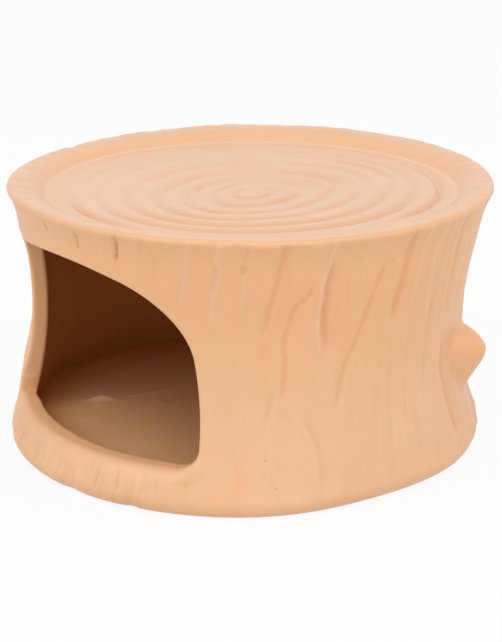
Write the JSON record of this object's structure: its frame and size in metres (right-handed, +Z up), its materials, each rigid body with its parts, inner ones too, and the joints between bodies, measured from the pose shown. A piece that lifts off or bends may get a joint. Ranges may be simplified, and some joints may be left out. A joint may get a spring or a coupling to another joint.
{
  "type": "ceramic small animal hideout",
  "caption": "Terracotta hideout shaped like a waisted tree stump, with an arched side doorway, a ringed top and a branch knot on its wall, in which a small pet sleeps.",
  "frame": {"origin": "centre of the resting plane, on the stump's axis", "axes": "+Z up along the stump's axis, doorway facing -Y"},
  "size_m": [0.16, 0.16, 0.088],
  "materials": {
    "terracotta_wall": "satin",
    "terracotta_top": "satin",
    "terracotta_floor": "matte",
    "luting_clay": "matte"
  },
  "bodies": {
    "root": {"stump_wall": "terracotta_wall", "ringed_roof": "terracotta_top", "floor_plate": "terracotta_floor", "branch_knot": "terracotta_wall", "roof_coil": "luting_clay", "floor_coil": "luting_clay"}
  },
  "joints": []
}
